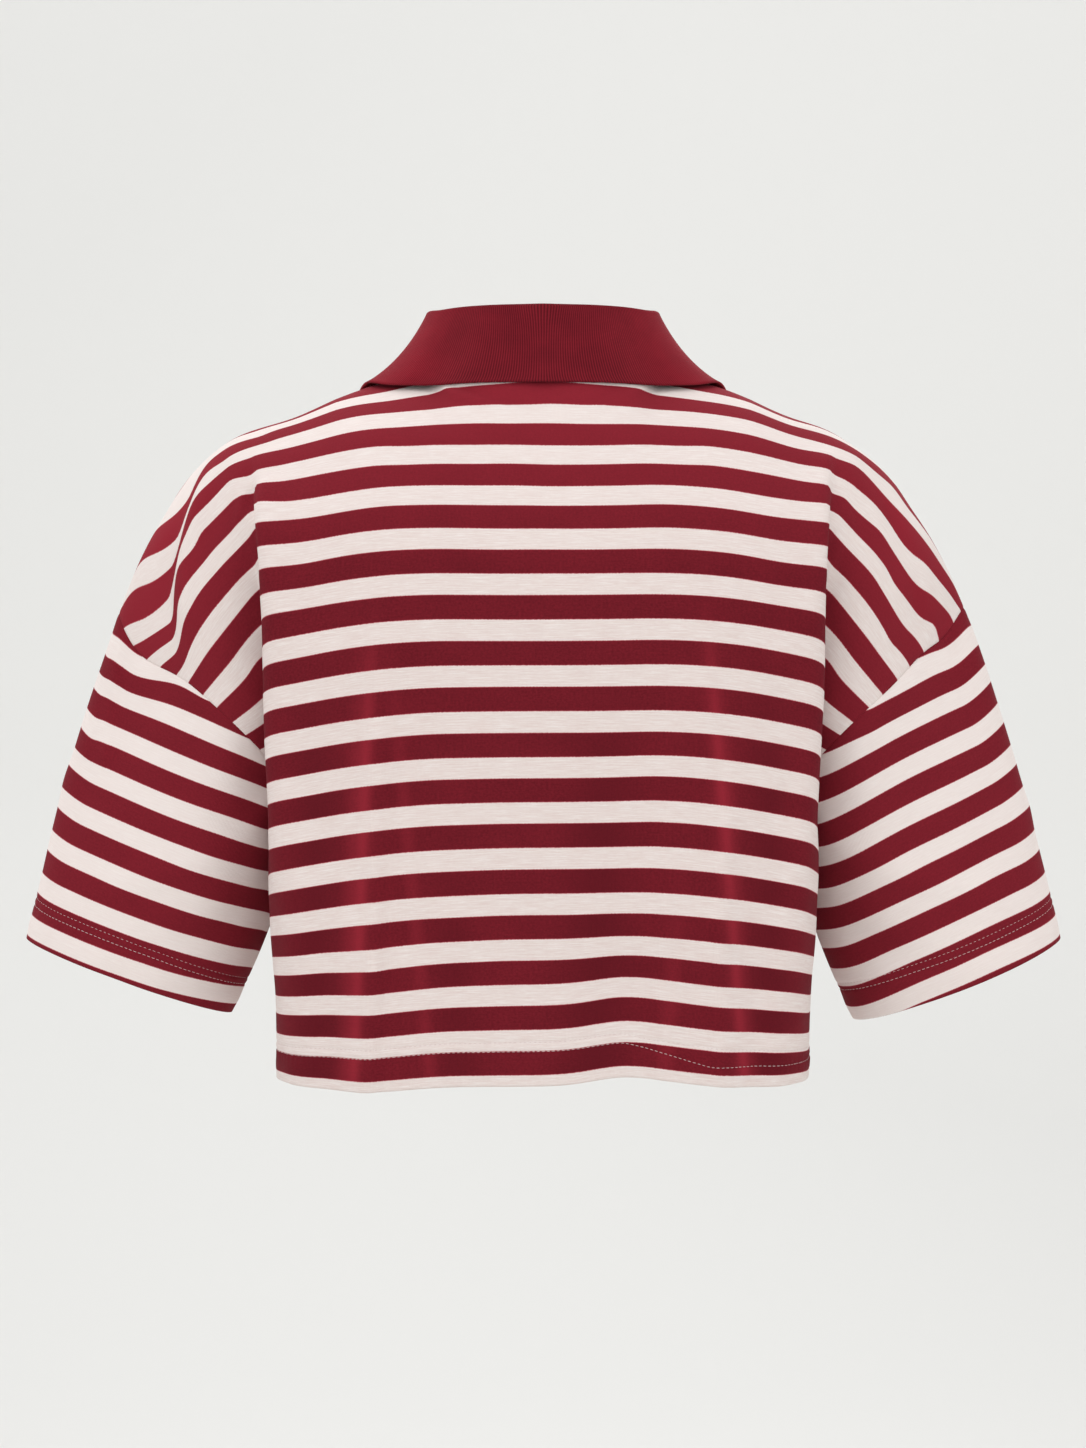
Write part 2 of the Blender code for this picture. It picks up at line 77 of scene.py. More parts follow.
# the same for the middle of the front: level, then its place
chest = [(0.0, (-0.096, -0.469)), (0.12, (-0.104, -0.349)), (0.221, (-0.11, -0.2485)),
         (0.3, (-0.107, -0.17)), (0.38, (-0.096, -0.092)), (0.425, (-0.086, -0.048))]
frontForm = dict(depth=0.92, shift=-0.008, knee=(0.30, 0.25))
turnRadius = dict(back=0.050, knee=0.055, edge=0.018, tuck=0.016, arm=0.030)

shoulderLine = [(0.080, -0.006, 0.012), (0.1245, -0.004, -0.002), (0.1665, -0.003, -0.0205),
                (0.213, -0.002, -0.0370), (0.2387, -0.002, -0.0590), (0.260, -0.004, -0.0900),
                (0.278, -0.008, -0.1235), (0.2895, -0.012, -0.1500)]
backNeck = [(0.0, 0.061, -0.0020), (0.035, 0.057, -0.0015), (0.066, 0.035, 0.004), (0.080, -0.006, 0.012)]
frontNeck = [(0.0, -0.097, -0.092), (0.026, -0.088, -0.064), (0.058, -0.060, -0.020), (0.080, -0.006, 0.012)]

# the large folds, which the solids have too: the cloth near a line is pushed, steeply on the side behind
# its side way and slowly ahead of it
foldNames = ("start", "end", "push", "side", "steep", "slow", "fade")
folds = [dict(zip(foldNames, row)) for row in (
    ((0.289, -0.004, -0.172), (0.272, 0.008, -0.182), (0.003, 0.0, -0.008), (0, 1, 0), 0.03, 0.03, 0.03),
    ((-0.28, 0.005, -0.16), (-0.264, 0.015, -0.176), (0.002, 0.0, 0.005), (0, 1, 0), 0.03, 0.03, 0.026),
    ((-0.215, 0.0, -0.04), (-0.246, 0.0, -0.068), (0.0, 0.0, -0.005), (0, 1, 0), 0.035, 0.035, 0.02),
    ((0.236, 0.03, -0.08), (0.238, 0.04, -0.15), (0.0, 0.004, 0.0), (-1, 0, 0), 0.012, 0.02, 0.035),
    ((-0.25, 0.03, -0.095), (-0.262, 0.02, -0.15), (0.0, 0.004, -0.005), (-1, 0, 0), 0.012, 0.02, 0.03),
    ((0.1, 0.105, -0.2), (0.122, 0.094, -0.469), (0.0, 0.004, 0.0), (1, 0, 0), 0.01, 0.028, 0.05),
    ((-0.106, 0.105, -0.23), (-0.126, 0.095, -0.469), (0.0, 0.004, 0.0), (1, 0, 0), 0.01, 0.026, 0.05),
    ((0.11, 0.1, -0.4), (0.115, 0.093, -0.469), (0.0, 0.002, -0.003), (1, 0, 0), 0.035, 0.035, 0.03),
    ((-0.055, 0.104, -0.42), (-0.055, 0.1, -0.469), (0.0, -0.004, 0.006), (-1, 0, 0), 0.03, 0.04, 0.04),
    ((-0.262, -0.02, -0.1), (-0.26, -0.03, -0.15), (-0.002, 0.0, -0.009), (-1, 0, 0), 0.018, 0.04, 0.035),
    ((0.24, -0.05, -0.085), (0.25, -0.04, -0.135), (0.0, -0.004, -0.004), (1, 0, 0), 0.014, 0.022, 0.03),
    ((-0.092, -0.1, -0.22), (-0.1, -0.095, -0.469), (0.0, -0.005, 0.0), (-1, 0, 0), 0.012, 0.03, 0.05),
    ((0.104, -0.1, -0.25), (0.122, -0.09, -0.469), (0.0, -0.004, 0.0), (-1, 0, 0), 0.012, 0.026, 0.05),
    ((0.04, -0.105, -0.41), (0.045, -0.098, -0.469), (0.0, 0.004, 0.005), (1, 0, 0), 0.032, 0.04, 0.035),
)]


def through(knots, values, x):  # a smooth line through values given at knots
    knots = np.asarray(knots, float)
    values = np.asarray(values, float)
    slopes = np.gradient(values, knots, axis=0)
    i = np.clip(np.searchsorted(knots, x) - 1, 0, len(knots) - 2)
    gap = (knots[i + 1] - knots[i])[..., None]
    t = (np.asarray(x)[..., None] - knots[i][..., None]) / gap
    return hermite(t, values[i], gap * slopes[i], values[i + 1], gap * slopes[i + 1])


def hermite(t, start, startSlope, end, endSlope):
    return ((1 + 2 * t) * (1 - t) ** 2 * start + t * (1 - t) ** 2 * startSlope
            + t * t * (3 - 2 * t) * end + t * t * (t - 1) * endSlope)


def lineThrough(points, t):  # a smooth line in space, from t = 0 to t = 1 by length
    points = np.asarray(points, float)
    reach = joined([0], np.cumsum(lengths(np.diff(points, axis=0))))
    return through(reach / reach[-1], points, t)


def joined(*parts, axis=0):
    return np.concatenate(parts, axis=axis)


def turnedRound(*grids):
    return (grid[:, ::-1] for grid in grids)


def lengths(vectors):
    return np.linalg.norm(vectors, axis=-1)


def unit(vectors):
    return vectors / np.maximum(lengths(vectors), 1e-9)[..., None]


def between(start, end, share):
    return start + (end - start) * share


def bell(distance, width):
    return np.exp(-(distance / width) ** 2)


def onFrontSide(points):
    return points * [1, -frontForm["depth"], 1] + [0, frontForm["shift"], 0]


def stations(side, level):  # the six points that one section passes
    levels = [row["level"] for row in sections]
    found = {name: through(levels, [row[name] for row in sections], level) for name in stationNames[3:]}
    if side > 0:
        middle = through(levels, [(0, *row["back"]) for row in sections], level)
        knee = through(levels, [(cut["kneeX"], *row["knee"]) for row in sections], level)
        return [middle, knee, *found.values()]
    middle = through([row[0] for row in chest], [(0, *row[1]) for row in chest], level)
    edge = onFrontSide(found["edge"])
    knee = middle + (edge - middle) * [cut["kneeX"] / cut["edgeReach"], *frontForm["knee"]]
    seam = found["seam"].copy()
    seamAtUnderarm = next(row["seam"][1] for row in sections if row["level"] == cut["underarm"])
    opened = seamAtUnderarm - frontForm["depth"] * (seam[..., 1] - seamAtUnderarm)
    seam[..., 1] = np.where(level > cut["underarm"], opened, seam[..., 1])
    return [middle, knee, edge, onFrontSide(found["tuck"]), onFrontSide(found["arm"]), seam]


def section(side, across, level):  # a point on a section, with its corners rounded
    corners = stations(side, level)
    legs = [b - a for a, b in zip(corners, corners[1:])]
    legLengths = [lengths(leg) for leg in legs]
    ways = [leg / size[..., None] for leg, size in zip(legs, legLengths)]
    starts = np.cumsum([np.zeros_like(legLengths[0])] + legLengths, axis=0)
    toEdge, toSeam = starts[2], starts[5]
    reach = np.where(across <= 1, across * toEdge, toEdge + (across - 1) * (toSeam - toEdge))
    points = corners[0] + ways[0] * reach[..., None]
    for k in range(1, 5):
        past = reach >= starts[k]
        points[past] = (corners[k] + ways[k] * (reach - starts[k])[..., None])[past]
    for k, name in enumerate(turnRadius):
        before = ways[k - 1] if k else ways[0] * [1, -1, -1]
        room = np.minimum(legLengths[k - 1], legLengths[k]) if k else legLengths[0]
        turn = np.minimum(turnRadius[name], cut["turnShare"] * room)
        t = (reach - starts[k] + turn) / (2 * turn)
        ahead, back = (turn * t * t)[..., None], (turn * (1 - t) ** 2)[..., None]
        rounded = corners[k] + ahead * ways[k] - back * before
        inTurn = (t > 0) & (t < 1)
        points[inTurn] = rounded[inTurn]
    return points


def flatReach(across):
    edge, shoulder = cut["edgeReach"], cut["shoulderReach"]
    return np.where(across <= 1, across * edge, edge + (across - 1) * (shoulder - edge))


def topLevel(side, across):
    reach = flatReach(across)
    out = np.clip((reach - cut["neckHalf"]) / (cut["shoulderReach"] - cut["neckHalf"]), 0, 1)
    shoulder = cut["neckSide"] - cut["slope"] * out - cut["curve"] * out ** cut["shoulderPower"]
    near = np.clip(reach / cut["neckHalf"], 0, 1)
    middle = cut["backNeck"] if side > 0 else cut["frontNeck"]
    neck = middle + (cut["neckSide"] - middle) * (near ** cut["neckPower"] if side > 0 else near)
    return np.where(reach < cut["neckHalf"], neck, shoulder)


def topPoint(side, across):
    reach = flatReach(across)
    out = (reach - cut["neckHalf"]) / (cut["shoulderReach"] - cut["neckHalf"])
    shoulder = lineThrough(shoulderLine, np.clip(out, 0, 1))
    neck = lineThrough(backNeck if side > 0 else frontNeck, np.clip(reach / cut["neckHalf"], 0, 1))
    return np.where((reach < cut["neckHalf"])[..., None], neck, shoulder)


def panelPoint(side, across, level):  # the worn place of a point of the back or the front
    across, level = np.broadcast_arrays(np.asarray(across, float), np.asarray(level, float))
    top = topLevel(side, across)
    cap = np.minimum(cut["cap"], top - cut["capDepth"])
    below = section(side, across, np.minimum(level, cap))
    start = section(side, across, cap)
    rise = (start - section(side, across, cap - cut["step"])) / cut["step"]
    end = topPoint(side, across)
    span = (top - cap)[..., None]
    overShoulder = unit(section(-side, across, cap) - start)
    blend = (flatReach(across) - cut["blendFrom"]) / (cut["blendTo"] - cut["blendFrom"])
    share = np.clip(blend, 0, 1)[..., None] ** cut["blendPower"]
    arrival = (end - start) / span * (1 - share) + overShoulder * share
    t = np.clip((level - cap)[..., None] / span, 0, 1)
    above = hermite(t, start, span * rise, end, span * arrival)
    return np.where((level > cap)[..., None], above, below)


def panelOutward(side, across, level):
    here = panelPoint(side, across, level)
    upward = here - panelPoint(side, across, level - cut["step"])
    sideways = here - panelPoint(side, across - cut["nearby"], level)
    return unit(np.cross(upward, sideways) * side)


def folded(points):  # moves points by the large folds
    moved = points.copy()
    for fold in folds:
        start = np.array(fold["start"])
        run = np.array(fold["end"]) - start
        t = np.clip((points - start) @ run / (run @ run), 0, 1)
        away = points - start - t[..., None] * run
        sideways = away @ np.array(fold["side"], float)
        rest = np.sqrt(np.maximum(lengths(away) ** 2 - sideways ** 2, 0))
        width = np.where(sideways < 0, fold["steep"], fold["slow"])
        amount = np.exp(-(sideways / width) ** 2 - (rest / fold["fade"]) ** 2)
        moved += amount[..., None] * np.array(fold["push"])
    return moved


crease = dict(uneven=0.25, beat=90, startBeat=40)  # how much a crease swells along its way, and how often
ripple = dict(broad=((41, 23, 1), (67, -31, 2.1)), fine=((113, 17, 3.7), (-21, 59, 1)), broadLift=0.00030,
              fineLift=0.00022)


# A mark is a line on a panel's flat cut: u from its middle to the wearer's left, v up from its hem. It
# lifts the cloth as a soft crease, or slips the stripes along as where the cloth has slid. A width of two
# numbers is that on the left and that on the right of its way.
def mark(start, end, lift=0.0, slip=0.0, width=0.01, fade=0.02, bow=0.0):
    sides = width if isinstance(width, tuple) else (width, width)
    return dict(start=start, end=end, lift=lift, slip=slip, width=sides, fade=fade, bow=bow)


def nearMark(line, u, v):
    start, end = np.array(line["start"]), np.array(line["end"])
    run = end - start
    size = math.hypot(*run)
    t = ((u - start[0]) * run[0] + (v - start[1]) * run[1]) / size ** 2
    onLine = np.clip(t, 0, 1)
    off = ((v - start[1]) * run[0] - (u - start[0]) * run[1]) / size
    off = off - line["bow"] * 4 * onLine * (1 - onLine)
    width = np.where(off > 0, *line["width"])
    past = (t - onLine) * size / line["fade"]
    swell = crease["uneven"] if line["lift"] else 0
    beat = np.sin(size * crease["beat"] * onLine + crease["startBeat"] * start[0])
    return (1 + swell * beat) * np.exp(-(off / width) ** 2 - past ** 2)


def marked(marks, what, u, v):  # what all marks add up to at a place on the cut
    total = np.zeros(np.broadcast(u, v).shape)
    for line in marks:
        if line[what]:
            total = total + line[what] * nearMark(line, u, v)
    return total


def onBothSides(marks):
    mirrored = []
    for line in marks:
        (startU, startV), (endU, endV) = line["start"], line["end"]
        mirrored.append(dict(line, start=(-startU, startV), end=(-endU, endV), width=line["width"][::-1],
                             bow=-line["bow"]))
    return marks + mirrored


def rippled(u, v, seed):  # the slight unevenness of soft cloth
    broad, fine = ([np.sin(across * u + along * v + turn * seed) for across, along, turn in ripple[kind]]
                   for kind in ("broad", "fine"))
    return ripple["broadLift"] * (broad[0] + broad[1]) + ripple["fineLift"] * (fine[0] * fine[1])


def gridPiece(name, points, uvs, thickness, material, tube=False):
    rows, columns = points.shape[:2]
    mesh = bmesh.new()
    bmesh.ops.create_grid(mesh, x_segments=columns - 1, y_segments=rows - 1, size=0.5)
    layer = mesh.loops.layers.uv.new("cut")
    places = {}
    for vert in mesh.verts:
        row, column = (vert.co.y + 0.5) * (rows - 1), (vert.co.x + 0.5) * (columns - 1)
        places[vert.index] = (round(row), round(column))
    for face in mesh.faces:
        for loop in face.loops:
            loop[layer].uv = uvs[places[loop.vert.index]]
    for vert in mesh.verts:
        vert.co = points[places[vert.index]]
    if tube:
        bmesh.ops.remove_doubles(mesh, verts=mesh.verts, dist=1e-6)
    piece = pieceFrom(name, mesh, material)
    skin = piece.modifiers.new("wall", "SOLIDIFY")
    skin.thickness = thickness
    skin.offset = 0
    return piece


def linked(name, data):
    made = bpy.data.objects.new(name, data)
    bpy.context.scene.collection.objects.link(made)
    return made


def objectFrom(name, mesh, material):
    data = bpy.data.meshes.new(name)
    mesh.to_mesh(data)
    mesh.free()
    data.shade_smooth()
    data.materials.append(material)
    return linked(name, data)


def pieceFrom(name, mesh, material):
    piece = objectFrom(name, mesh, material)
    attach(piece, "root")
    return piece


class Socket:  # shader maths written as Python
    def __init__(self, shader, link):
        self.shader = shader
        self.link = link

    def maths(self, operation, *values):
        return self.shader.node("ShaderNodeMath", dict(operation=operation), dict(enumerate(values)))

    def __add__(self, other):
        return self.maths("ADD", self, other)

    def __sub__(self, other):
        return self.maths("SUBTRACT", self, other)

    def __rsub__(self, other):
        return self.maths("SUBTRACT", other, self)

    def __mul__(self, other):
        return self.maths("MULTIPLY", self, other)

    def __truediv__(self, other):
        return self.maths("DIVIDE", self, other)

    def __mod__(self, other):
        return self.maths("FLOORED_MODULO", self, other)

    def __abs__(self):
        return self.maths("ABSOLUTE", self)

    __radd__ = __add__
    __rmul__ = __mul__

    def least(self, other):
        return self.maths("MINIMUM", self, other)

    def wave(self, length):
        return self.maths("SINE", self * (2 * math.pi / length))


class Finish:  # one material and its nodes
    def __init__(self, name, **fixed):
        self.material = bpy.data.materials.new(name)
        self.material.use_nodes = True
        self.tree = self.material.node_tree
        self.surface = self.tree.nodes["Principled BSDF"]
        self.set(**fixed)

    def node(self, kind, settings=None, inputs=None, output=0):
        made = self.tree.nodes.new(kind)
        for name, value in (settings or {}).items():
            if name == "stops":
                self.setStops(made.color_ramp, value)
            else:
                setattr(made, name, value)
        for name, value in (inputs or {}).items():
            self.feed(made.inputs[name], value)
        return Socket(self, made.outputs[output])

    def setStops(self, ramp, stops):
        while len(ramp.elements) < len(stops):
            ramp.elements.new(1)
        for element, (place, colour) in zip(ramp.elements, stops):
            element.position = place
            element.color = (*colour, 1)

    def feed(self, socket, value):
        if isinstance(value, Socket):
            self.tree.links.new(value.link, socket)
        elif socket.type == "RGBA":
            socket.default_value = (*value, 1)
        else:
            socket.default_value = value

    def set(self, **inputs):
        for name, value in inputs.items():
            self.feed(self.surface.inputs[name.replace("_", " ")], value)

    def onCut(self):  # metres round and up the piece's flat cut
        place = self.node("ShaderNodeUVMap", dict(uv_map="cut"))
        u = self.node("ShaderNodeSeparateXYZ", None, {0: place})
        return u, Socket(self, u.link.node.outputs[1])

    def noise(self, u, v, across, along, shift=0.0, detail=2.0, roughness=0.5):  # flecks for each metre
        place = self.node("ShaderNodeCombineXYZ", None, {0: u * across, 1: v * along, 2: shift})
        return self.node("ShaderNodeTexNoise", None,
                         {"Vector": place, "Scale": 1.0, "Detail": detail, "Roughness": roughness})

    def mix(self, share, a, b):
        return self.node("ShaderNodeMix", dict(data_type="RGBA"), {0: share, 6: a, 7: b}, 2)

    def ramp(self, value, *stops):
        return self.node("ShaderNodeValToRGB", dict(stops=stops), {0: value})

    def spread(self, value, low, high):  # 0 below low, 1 above high
        return self.node("ShaderNodeMapRange", dict(clamp=True), {0: value, 1: low, 2: high})

    def bump(self, height, distance, strength):
        return self.node("ShaderNodeBump", None,
                         {"Height": height, "Distance": distance, "Strength": strength})


# redLit and creamLit are lit copies of the red and cream, painted light; the darkest red is painted shade
# for the hollows between folds
jersey = dict(red=(0.180, 0.0108, 0.0196), redDeep=(0.128, 0.0076, 0.0142), redLit=(0.300, 0.0200, 0.0340),
              redShade=(0.108, 0.0064, 0.0122), fringe=(0.42, 0.040, 0.065), creamLit=(0.885, 0.800, 0.765),
              pale=(0.835, 0.767, 0.738), cream=(0.765, 0.665, 0.630), streak=(0.695, 0.558, 0.523),
              heather=(0.36, 0.50, 0.72), mottle=(0.40, 0.62), stripe=0.015, redHalf=0.256, softEdge=0.0005,
              fringeWidth=0.0004, wander=0.0006, gauge=0.0009, course=0.0007, relief=0.00014, bumpShare=0.7,
              sleeveLit=0.25, creamShare=0.6, litRise=(0.34, 0.50), litShare=0.8, armOut=(0.21, 0.28),
              armRise=(0.24, 0.30), armShare=0.3, paintedLineFade=0.045, sheenMix=(0.5, 0.75))
jerseyMixes = dict(
    cream=dict(streaks=0.7, fine=0.3),
    red=dict(streaks=0.25, fine=0.10, clouds=0.20, grain=0.45),
    height=dict(wales=0.5, courses=0.35, streaks=0.8, clouds=1.5),
)
jerseyNoise = dict(
    wander=dict(across=900, along=300, detail=1.0),
    streaks=dict(across=60, along=1400, detail=3.0, roughness=0.65),
    fine=dict(across=260, along=3200, shift=4.0, roughness=0.6),
    clouds=dict(across=26, along=34, shift=9.0),
    grain=dict(across=560, along=760, shift=2.0, detail=1.0),
)


# lines on the cut, from the top down, where the red is painted lighter as sheen on fold crests (the first
# list) or painted darker as shade in the hollows between folds (the second): start, end, width and share
sheenCrests = [
    ((0.113, 0.285), (0.1225, 0.06), 0.0065, 0.36),
    ((0.1175, 0.27), (0.1265, 0.06), 0.014, 0.44),
    ((0.097, 0.25), (0.078, 0.05), 0.008, 0.28),
    ((-0.1105, 0.285), (-0.129, 0.06), 0.0065, 0.34),
    ((-0.112, 0.275), (-0.1305, 0.06), 0.013, 0.4),
    ((-0.088, 0.11), (-0.082, 0.03), 0.01, 0.28),
]
shadedHollows = [
    ((-0.041, 0.23), (-0.034, 0.04), 0.036, 0.75),
    ((0.152, 0.25), (0.153, 0.05), 0.03, 0.7),
    ((-0.15, 0.25), (-0.153, 0.05), 0.026, 0.7),
    ((0.062, 0.15), (0.055, 0.03), 0.022, 0.5),
]


def mixed(flecks, shares):
    parts = [flecks[kind] * share for kind, share in shares.items()]
    return sum(parts[1:], parts[0])


def nearLines(cloth, u, v, places):
    total = 0.0
    for (startU, startV), (endU, endV), width, share in places:
        line = (v - startV) * ((endU - startU) / (endV - startV)) + startU
        near = cloth.spread(abs(u - line), width, 0.0)
        below = cloth.spread(v, startV + jersey["paintedLineFade"], startV - jersey["paintedLineFade"])
        total = near * near * (3.0 - near * 2.0) * below * share + total
    return total


def stripedJersey(name, firstRed, bodyShading):  # even stripes by level, heather streaks along them, fine knit
    cloth = Finish(name, Roughness=0.9, Specular_IOR_Level=0.09, Sheen_Weight=0.02, Sheen_Roughness=0.4)
    u, v = cloth.onCut()
    period = 2 * jersey["stripe"]
    flecks = {kind: cloth.noise(u, v, **values) for kind, values in jerseyNoise.items()}
    lean = abs((u / jersey["gauge"]) % 1.0 - 0.5)
    flecks.update(wales=u.wave(jersey["gauge"]), courses=(v / jersey["course"] + lean).wave(1))
    creamFlecks, redFlecks, height = (mixed(flecks, shares) for shares in jerseyMixes.values())
    part = ((v + (flecks["wander"] - 0.5) * jersey["wander"] - firstRed) / period) % 1.0
    off = abs(part - 0.25)
    off = off.least(1.0 - off)
    soft = jersey["softEdge"] / period / 2
    isRed = cloth.spread(off, jersey["redHalf"] + soft, jersey["redHalf"] - soft)
    reach = jersey["redHalf"] + jersey["fringeWidth"] / period
    isDyed = cloth.spread(off, reach + soft, reach - soft)
    tones = zip(jersey["heather"], (jersey["pale"], jersey["cream"], jersey["streak"]))
    creamTone = cloth.ramp(creamFlecks, *tones)
    redTone = cloth.mix(cloth.spread(redFlecks, *jersey["mottle"]), jersey["redDeep"], jersey["red"])
    if not bodyShading:
        # the sleeves: red and cream lifted evenly towards their lit copies, painted light
        redTone = cloth.mix(jersey["sleeveLit"], redTone, jersey["redLit"])
        creamTone = cloth.mix(jersey["creamShare"], creamTone, jersey["creamLit"])
    else:
        # the body: painted light, red and cream lighter towards the top, where the cloth faces the light
        # from above, and out on the arms
        arms = cloth.spread(abs(u), *jersey["armOut"]) * cloth.spread(v, *jersey["armRise"])
        lit = cloth.spread(v, *jersey["litRise"]) * jersey["litShare"] + arms * jersey["armShare"]
        redTone = cloth.mix(lit, redTone, jersey["redLit"])
        creamTone = cloth.mix(lit * jersey["creamShare"], creamTone, jersey["creamLit"])
        # painted shade: the red darker along the hollows between folds
        redTone = cloth.mix(nearLines(cloth, u, v, shadedHollows), redTone, jersey["redShade"])
        # painted sheen: the red lighter along the fold crests, uneven with the streaks
        uneven = flecks["streaks"] * jersey["sheenMix"][0] + jersey["sheenMix"][1]
        redTone = cloth.mix(nearLines(cloth, u, v, sheenCrests) * uneven, redTone, jersey["redLit"])
    edged = cloth.mix(isDyed, creamTone, jersey["fringe"])
    cloth.set(Base_Color=cloth.mix(isRed, edged, redTone),
              Normal=cloth.bump(height, jersey["relief"], jersey["bumpShare"]))
    return cloth.material


# colour is the rib's lit red and groove the painted shade in the grooves between ribs; the collar's ends are
# painted lighter, as more lit
rib = dict(colour=(0.300, 0.0160, 0.0290), groove=(0.092, 0.0045, 0.0092), opens=(0.03, 0.13),
           pitch=0.0013, course=0.0009, waver=0.0004, shade=(0.4, 1.35), relief=0.00025, courseRelief=0.3,
           bumpShare=0.8, light=dict(ridge=0.6, courses=0.2, clouds=0.5, opened=0.8))


def ribKnit(name):
    knit = Finish(name, Roughness=0.88, Specular_IOR_Level=0.1, Sheen_Weight=0.03, Sheen_Roughness=0.4)
    u, v = knit.onCut()
    waver = knit.noise(u, v, 200, 60, detail=1.0) * rib["waver"]
    ridge = (u + waver).wave(rib["pitch"]) * 0.5 + 0.5
    courses = v.wave(rib["course"]) * 0.5 + 0.5
    flecks = dict(ridge=ridge, courses=courses, clouds=knit.noise(u, v, 45, 45, detail=3.0),
                  opened=knit.spread(abs(u), *rib["opens"]))  # the collar's ends are painted lighter, as where they catch more light
    shade = knit.spread(mixed(flecks, rib["light"]), *rib["shade"])
    knit.set(Base_Color=knit.mix(shade, rib["groove"], rib["colour"]),
             Normal=knit.bump(ridge + courses * rib["courseRelief"], rib["relief"], rib["bumpShare"]))
    return knit.material


threadForm = dict(dark=(0.52, 0.36, 0.36), light=(0.74, 0.62, 0.60), twist=900.0, uneven=2.0)


def sewingThread(name):
    thread = Finish(name, Roughness=0.6, Specular_IOR_Level=0.3)
    place = thread.node("ShaderNodeTexCoord", output=3)
    shape = {"Vector": place, "Scale": threadForm["twist"], "Distortion": threadForm["uneven"]}
    twist = thread.node("ShaderNodeTexWave", None, shape, 1)
    thread.set(Base_Color=thread.mix(twist, threadForm["dark"], threadForm["light"]))
    return thread.material


redStarts = dict(body=0.0079, sleeve=0.0175)  # how far above the hem the first whole red stripe starts
bodyCloth = stripedJersey("striped_jersey_body", redStarts["body"], True)
sleeveCloth = stripedJersey("striped_jersey_sleeve", redStarts["sleeve"], False)
ribCloth = ribKnit("rib_knit")
threadCloth = sewingThread("pale_thread")
print("materials made")


# the pinch at the top of the side folds, and where both panels have slid a little along the arms
evenMarks = [
    mark((0.197, 0.398), (0.203, 0.434), lift=0.003, width=(0.014, 0.004), fade=0.012),
    mark((0.21, 0.412), (0.2085, 0.37), lift=-0.0042, width=0.006, fade=0.012),
    mark((0.115, 0.478), (0.172, 0.48), slip=0.006, width=(0.02, 0.013), fade=0.03),
    mark((0.12, 0.425), (0.175, 0.425), slip=-0.0022, width=0.014),
    mark((0.16, 0.385), (0.166, 0.35), slip=0.002, width=0.03),
    mark((0.262, 0.352), (0.3, 0.328), slip=-0.0026, width=0.014, fade=0.018),
]
backMarks = onBothSides(evenMarks) + [
    # the deep slide on the left arm
    mark((0.27, 0.4515), (0.326, 0.398), slip=0.0208, width=(0.036, 0.0078), fade=0.028),
    mark((0.315, 0.39), (0.35, 0.372), slip=0.004, width=0.012),
    mark((0.23, 0.43), (0.26, 0.426), slip=-0.0068, width=(0.026, 0.02), fade=0.012),
    mark((0.205, 0.47), (0.228, 0.46), slip=0.0056, width=(0.02, 0.014), fade=0.01),
    mark((0.268, 0.45), (0.322, 0.398), lift=-0.0026, width=(0.012, 0.006)),
    mark((0.262, 0.44), (0.312, 0.39), lift=0.0018, width=(0.006, 0.01)),
    # the lesser one on the right
    mark((-0.262, 0.466), (-0.345, 0.41), slip=-0.0083, width=(0.016, 0.035)),
    mark((-0.232, 0.445), (-0.258, 0.425), slip=-0.004, width=0.016, fade=0.014),
    mark((-0.295, 0.392), (-0.33, 0.374), slip=0.0034, width=0.014, fade=0.014),
    # the right of the hem hangs a little high
    mark((-0.17, 0.27), (-0.195, 0.09), slip=-0.003, width=(0.08, 0.05), fade=0.075),
    mark((-0.085, 0.2), (-0.075, 0.1), slip=-0.0014, width=0.04, fade=0.03),
    mark((0.12, 0.24), (0.12, 0.12), slip=0.0013, width=0.06, fade=0.05),
    # soft upright folds
    mark((0.112, 0.26), (0.138, 0.02), lift=0.003, width=(0.012, 0.006), fade=0.06),
    mark((0.05, 0.16), (0.052, 0.0), lift=0.0009, width=0.012, fade=0.05),
    mark((-0.132, 0.17), (-0.142, 0.0), lift=0.0028, width=(0.006, 0.013), fade=0.05),
    mark((-0.09, 0.17), (-0.094, 0.01), lift=0.002, width=(0.006, 0.012), fade=0.05),
    mark((0.172, 0.18), (0.178, 0.02), lift=-0.0014, width=0.014, fade=0.05),
    mark((-0.172, 0.23), (-0.176, 0.04), lift=-0.0012, width=0.012, fade=0.05),
    # drag lines from the arms and under the collar
    mark((0.19, 0.33), (0.14, 0.29), lift=0.0008, fade=0.03, bow=0.008),
    mark((-0.19, 0.335), (-0.15, 0.285), lift=0.0009, fade=0.03, bow=-0.008),
    mark((0.05, 0.469), (0.026, 0.458), lift=0.0012, width=(0.003, 0.005), fade=0.008),
    mark((0.038, 0.471), (0.006, 0.457), lift=-0.001, width=(0.004, 0.003), fade=0.01),
    mark((-0.05, 0.47), (-0.03, 0.456), lift=0.0008, width=0.004, fade=0.01),
    # creases along both arms
    mark((0.215, 0.395), (0.252, 0.345), lift=0.0014, width=(0.005, 0.01)),
    mark((0.24, 0.36), (0.262, 0.318), lift=0.0012, width=(0.004, 0.008), fade=0.015),
    mark((0.21, 0.42), (0.228, 0.402), lift=0.0014, width=(0.004, 0.007), fade=0.01),
    mark((-0.218, 0.4), (-0.256, 0.345), lift=0.0014, width=(0.01, 0.005)),
    mark((-0.262, 0.435), (-0.33, 0.4), lift=-0.0016),
    mark((-0.21, 0.425), (-0.228, 0.404), lift=0.0012, width=(0.007, 0.004), fade=0.01),
]
